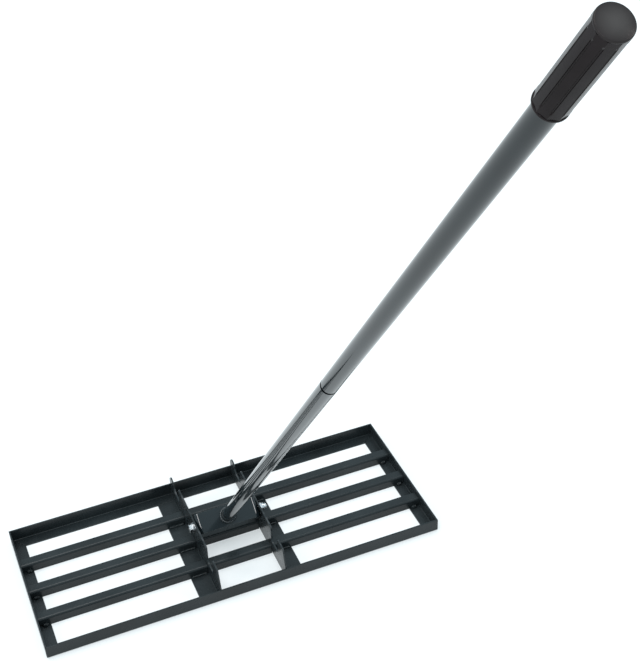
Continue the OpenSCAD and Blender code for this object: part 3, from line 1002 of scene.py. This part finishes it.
class RAKE_OT_stage(bpy.types.Operator):
    """Set the floor, the light and the camera"""

    bl_idname = "rake.stage"
    bl_label = "Stage"

    def execute(self, context):
        scene, stage = context.scene, context.scene.rake_stage
        self.lay_floor(stage)
        self.light_sky(scene, stage)
        self.hang_sun("overhead", OVERHEAD_PLACE, stage.overhead_strength, OVERHEAD_WIDTH)
        for side, place in GLINT_PLACES.items():
            self.hang_sun(f"glint_{side}", place, stage.glint_strength, GLINT_WIDTH)
        self.set_camera(scene, stage)
        scene.view_settings.view_transform = "Standard"
        return {"FINISHED"}

    def lay_floor(self, stage):
        """Lays a large square floor that glows a little."""
        half = stage.floor_size / 2
        corners = [(-half, -half, 0), (half, -half, 0), (half, half, 0), (-half, half, 0)]
        mesh = bpy.data.meshes.new("floor")
        mesh.from_pydata(corners, [], [(0, 1, 2, 3)])
        material, _, shader = new_material("pale_floor")
        shader.inputs["Base Color"].default_value = (*stage.floor_tone, 1.0)
        shader.inputs["Roughness"].default_value = 1.0
        shader.inputs["Specular IOR Level"].default_value = 0.0
        shader.inputs["Emission Color"].default_value = (*stage.floor_glow, 1.0)
        shader.inputs["Emission Strength"].default_value = 1.0
        mesh.materials.append(material)
        add_piece("floor", mesh)

    def light_sky(self, scene, stage):
        """Lights the scene evenly from all sides."""
        scene.world = bpy.data.worlds.new("studio")
        scene.world.use_nodes = True
        scene.world.node_tree.nodes["Background"].inputs["Color"].default_value = (*stage.sky, 1.0)

    def hang_sun(self, name, place, strength, width):
        """Hangs a far lamp in the direction of a place."""
        light = bpy.data.lights.new(name, "SUN")
        light.energy = strength
        light.angle = width
        lamp = bpy.data.objects.new(name, light)
        bpy.context.scene.collection.objects.link(lamp)
        lamp.rotation_euler = Vector(place).to_track_quat("Z", "Y").to_euler()

    def set_camera(self, scene, stage):
        """Sets the camera at its place, aimed and rolled."""
        place, aim = Vector(stage.camera_place), Vector(stage.camera_aim)
        look = (aim - place).normalized()
        level = look.cross(Vector((0, 0, 1))).normalized()
        right = math.cos(stage.camera_roll) * level + math.sin(stage.camera_roll) * level.cross(look)
        turn = Matrix((right, right.cross(look), -look)).transposed()
        data = bpy.data.cameras.new("camera")
        data.sensor_fit = "HORIZONTAL"
        data.sensor_width = SENSOR_WIDTH
        data.lens = stage.lens
        camera = bpy.data.objects.new("camera", data)
        camera.matrix_world = Matrix.Translation(place) @ turn.to_4x4()
        scene.collection.objects.link(camera)
        scene.camera = camera


class RAKE_PT_panel(bpy.types.Panel):
    """Lists the rake's settings and steps"""

    bl_label = "Lawn leveling rake"
    bl_space_type = "VIEW_3D"
    bl_region_type = "UI"
    bl_category = "Rake"

    def draw(self, context):
        for step in STEPS:
            self.layout.operator(step.bl_idname)
        for group in (context.scene.rake_sizes, context.scene.rake_finishes, context.scene.rake_stage):
            box = self.layout.box()
            for name in group.__annotations__:
                box.prop(group, name)


STEPS = (
    RAKE_OT_frame_bars, RAKE_OT_slats, RAKE_OT_side_plates, RAKE_OT_slat_welds, RAKE_OT_pivot_hardware,
    RAKE_OT_bracket, RAKE_OT_handle_tubes, RAKE_OT_grip, RAKE_OT_stage,
)
SETTINGS = {"rake_sizes": RakeSizes, "rake_finishes": RakeFinishes, "rake_stage": RakeStage}


def register():
    for kind in (*SETTINGS.values(), *STEPS, RAKE_PT_panel):
        bpy.utils.register_class(kind)
    for name, kind in SETTINGS.items():
        setattr(bpy.types.Scene, name, bpy.props.PointerProperty(type=kind))


def unregister():
    for name in SETTINGS:
        delattr(bpy.types.Scene, name)
    for kind in reversed((*SETTINGS.values(), *STEPS, RAKE_PT_panel)):
        bpy.utils.unregister_class(kind)


def main():
    register()
    for step in STEPS:
        group, name = step.bl_idname.split(".")
        getattr(getattr(bpy.ops, group), name)()


if __name__ == "__main__":
    main()
